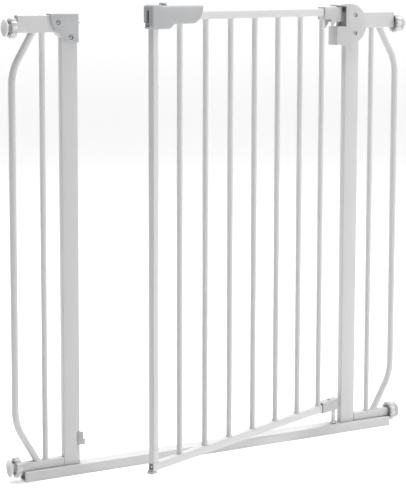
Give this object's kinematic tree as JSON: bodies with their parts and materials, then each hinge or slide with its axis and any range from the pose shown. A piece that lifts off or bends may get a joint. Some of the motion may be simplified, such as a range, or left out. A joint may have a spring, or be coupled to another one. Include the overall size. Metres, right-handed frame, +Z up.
{
  "type": "safety baby gate",
  "caption": "Pressure-mounted doorway safety gate with a lift-and-swing barred door, top handle with thumb button, hinge and latch housings, and corner wall pads on hand wheels.",
  "frame": {"origin": "on the floor under the middle of the bottom rail, midway between the posts", "axes": "+Z up, +X along the gate towards the hinge post, the open door and the viewer on the -Y side"},
  "size_m": [0.7642, 0.2113, 0.7815],
  "materials": {
    "white_coating": "white powder coat",
    "grey_plastic": "fine-grained grey plastic",
    "light_grey_plastic": "fine-grained light grey plastic",
    "wheel_plastic": "moulded light grey plastic",
    "bracket_steel": "light grey coat on folded steel",
    "dark_plastic": "darker grey plastic",
    "zinc": "zinc plate",
    "pad_rubber": "pale translucent rubber"
  },
  "bodies": {
    "frame": {"bottom_rail": "white_coating", "left_post": "white_coating", "right_post": "white_coating", "left_wing_top_rail": "white_coating", "left_wing_low_rail": "white_coating", "left_wing_bar": "white_coating", "left_wing_outer_tube": "white_coating", "left_top_insert": "grey_plastic", "left_low_insert": "grey_plastic", "right_wing_top_rail": "white_coating", "right_wing_low_rail": "white_coating", "right_wing_bar": "white_coating", "right_wing_outer_tube": "white_coating", "right_top_insert": "grey_plastic", "right_low_insert": "grey_plastic", "latch_housing_front": "grey_plastic", "latch_housing_rear": "grey_plastic", "latch_screw_1": "zinc", "latch_screw_2": "zinc", "strike_peg": "zinc", "low_keeper": "grey_plastic", "low_keeper_peg": "zinc", "hinge_housing_front": "light_grey_plastic", "hinge_housing_rear": "light_grey_plastic", "hinge_screw_1": "zinc", "hinge_screw_2": "zinc"},
    "hinge_pins": {"upper_hinge_pin": "zinc", "lower_hinge_pin": "zinc"},
    "door": {"door_top_rail": "white_coating", "door_bottom_rail": "white_coating", "door_stile": "white_coating", "door_bar_1": "white_coating", "door_bar_2": "white_coating", "door_bar_3": "white_coating", "door_bar_4": "white_coating", "door_bar_5": "white_coating", "door_bar_6": "white_coating", "door_bar_7": "white_coating", "upper_hinge_bracket": "bracket_steel", "lower_hinge_bracket": "bracket_steel", "handle_front": "grey_plastic", "handle_rear": "grey_plastic", "handle_screw_1": "zinc", "handle_screw_2": "zinc", "door_corner_fitting": "grey_plastic"},
    "lock_button": {"lock_button": "dark_plastic"},
    "latch_slider": {"latch_slider": "dark_plastic"},
    "left_top_wheel": {"left_top_wheel": "wheel_plastic"},
    "left_top_spindle": {"left_top_bolt": "zinc", "left_top_pad": "pad_rubber"},
    "left_low_wheel": {"left_low_wheel": "wheel_plastic"},
    "left_low_spindle": {"left_low_bolt": "zinc", "left_low_pad": "pad_rubber"},
    "right_top_wheel": {"right_top_wheel": "wheel_plastic"},
    "right_top_spindle": {"right_top_bolt": "zinc", "right_top_pad": "pad_rubber"},
    "right_low_wheel": {"right_low_wheel": "wheel_plastic"},
    "right_low_spindle": {"right_low_bolt": "zinc", "right_low_pad": "pad_rubber"}
  },
  "joints": [
    {"name": "door_swing", "type": "hinge", "parent": "frame", "child": "hinge_pins", "pos_m": [0.2467, 0, 0], "axis": [0, 0, 1], "range_deg": [-21.6, 68.4]},
    {"name": "door_lift", "type": "slide", "parent": "hinge_pins", "child": "door", "axis": [0, 0, 1], "range_m": [-0.0075, 0]},
    {"name": "lock_button_press", "type": "slide", "parent": "door", "child": "lock_button", "axis": [0, 0, -1], "range_m": [0, 0.003], "stiffness_N_per_m": 500},
    {"name": "latch_slider_move", "type": "slide", "parent": "door", "child": "latch_slider", "axis": [0.9298, 0.3681, 0], "range_m": [0, 0.003]},
    {"name": "left_top_wheel_turn", "type": "hinge", "parent": "frame", "child": "left_top_wheel", "pos_m": [-0.3688, 0, 0.74], "axis": [-1, 0, 0], "range_deg": [-60, 1080]},
    {"name": "left_top_spindle_reach", "type": "slide", "parent": "frame", "child": "left_top_spindle", "axis": [-1, 0, 0], "range_m": [-0.00033, 0.00599]},
    {"name": "left_low_wheel_turn", "type": "hinge", "parent": "frame", "child": "left_low_wheel", "pos_m": [-0.3688, 0, 0.024], "axis": [-1, 0, 0], "range_deg": [-60, 1080]},
    {"name": "left_low_spindle_reach", "type": "slide", "parent": "frame", "child": "left_low_spindle", "axis": [-1, 0, 0], "range_m": [-0.00033, 0.00599]},
    {"name": "right_top_wheel_turn", "type": "hinge", "parent": "frame", "child": "right_top_wheel", "pos_m": [0.3688, 0, 0.74], "axis": [1, 0, 0], "range_deg": [-60, 1080]},
    {"name": "right_top_spindle_reach", "type": "slide", "parent": "frame", "child": "right_top_spindle", "axis": [1, 0, 0], "range_m": [-0.00033, 0.00599]},
    {"name": "right_low_wheel_turn", "type": "hinge", "parent": "frame", "child": "right_low_wheel", "pos_m": [0.3688, 0, 0.024], "axis": [1, 0, 0], "range_deg": [-60, 1080]},
    {"name": "right_low_spindle_reach", "type": "slide", "parent": "frame", "child": "right_low_spindle", "axis": [1, 0, 0], "range_m": [-0.00033, 0.00599]}
  ],
  "couplings": [
    {"joint": "latch_slider_move", "follows": "lock_button_press", "ratio": 1},
    {"joint": "left_top_wheel_turn", "follows": "left_top_spindle_reach", "rad_per_m": 3141.6},
    {"joint": "left_low_wheel_turn", "follows": "left_low_spindle_reach", "rad_per_m": 3141.6},
    {"joint": "right_top_wheel_turn", "follows": "right_top_spindle_reach", "rad_per_m": 3141.6},
    {"joint": "right_low_wheel_turn", "follows": "right_low_spindle_reach", "rad_per_m": 3141.6}
  ]
}
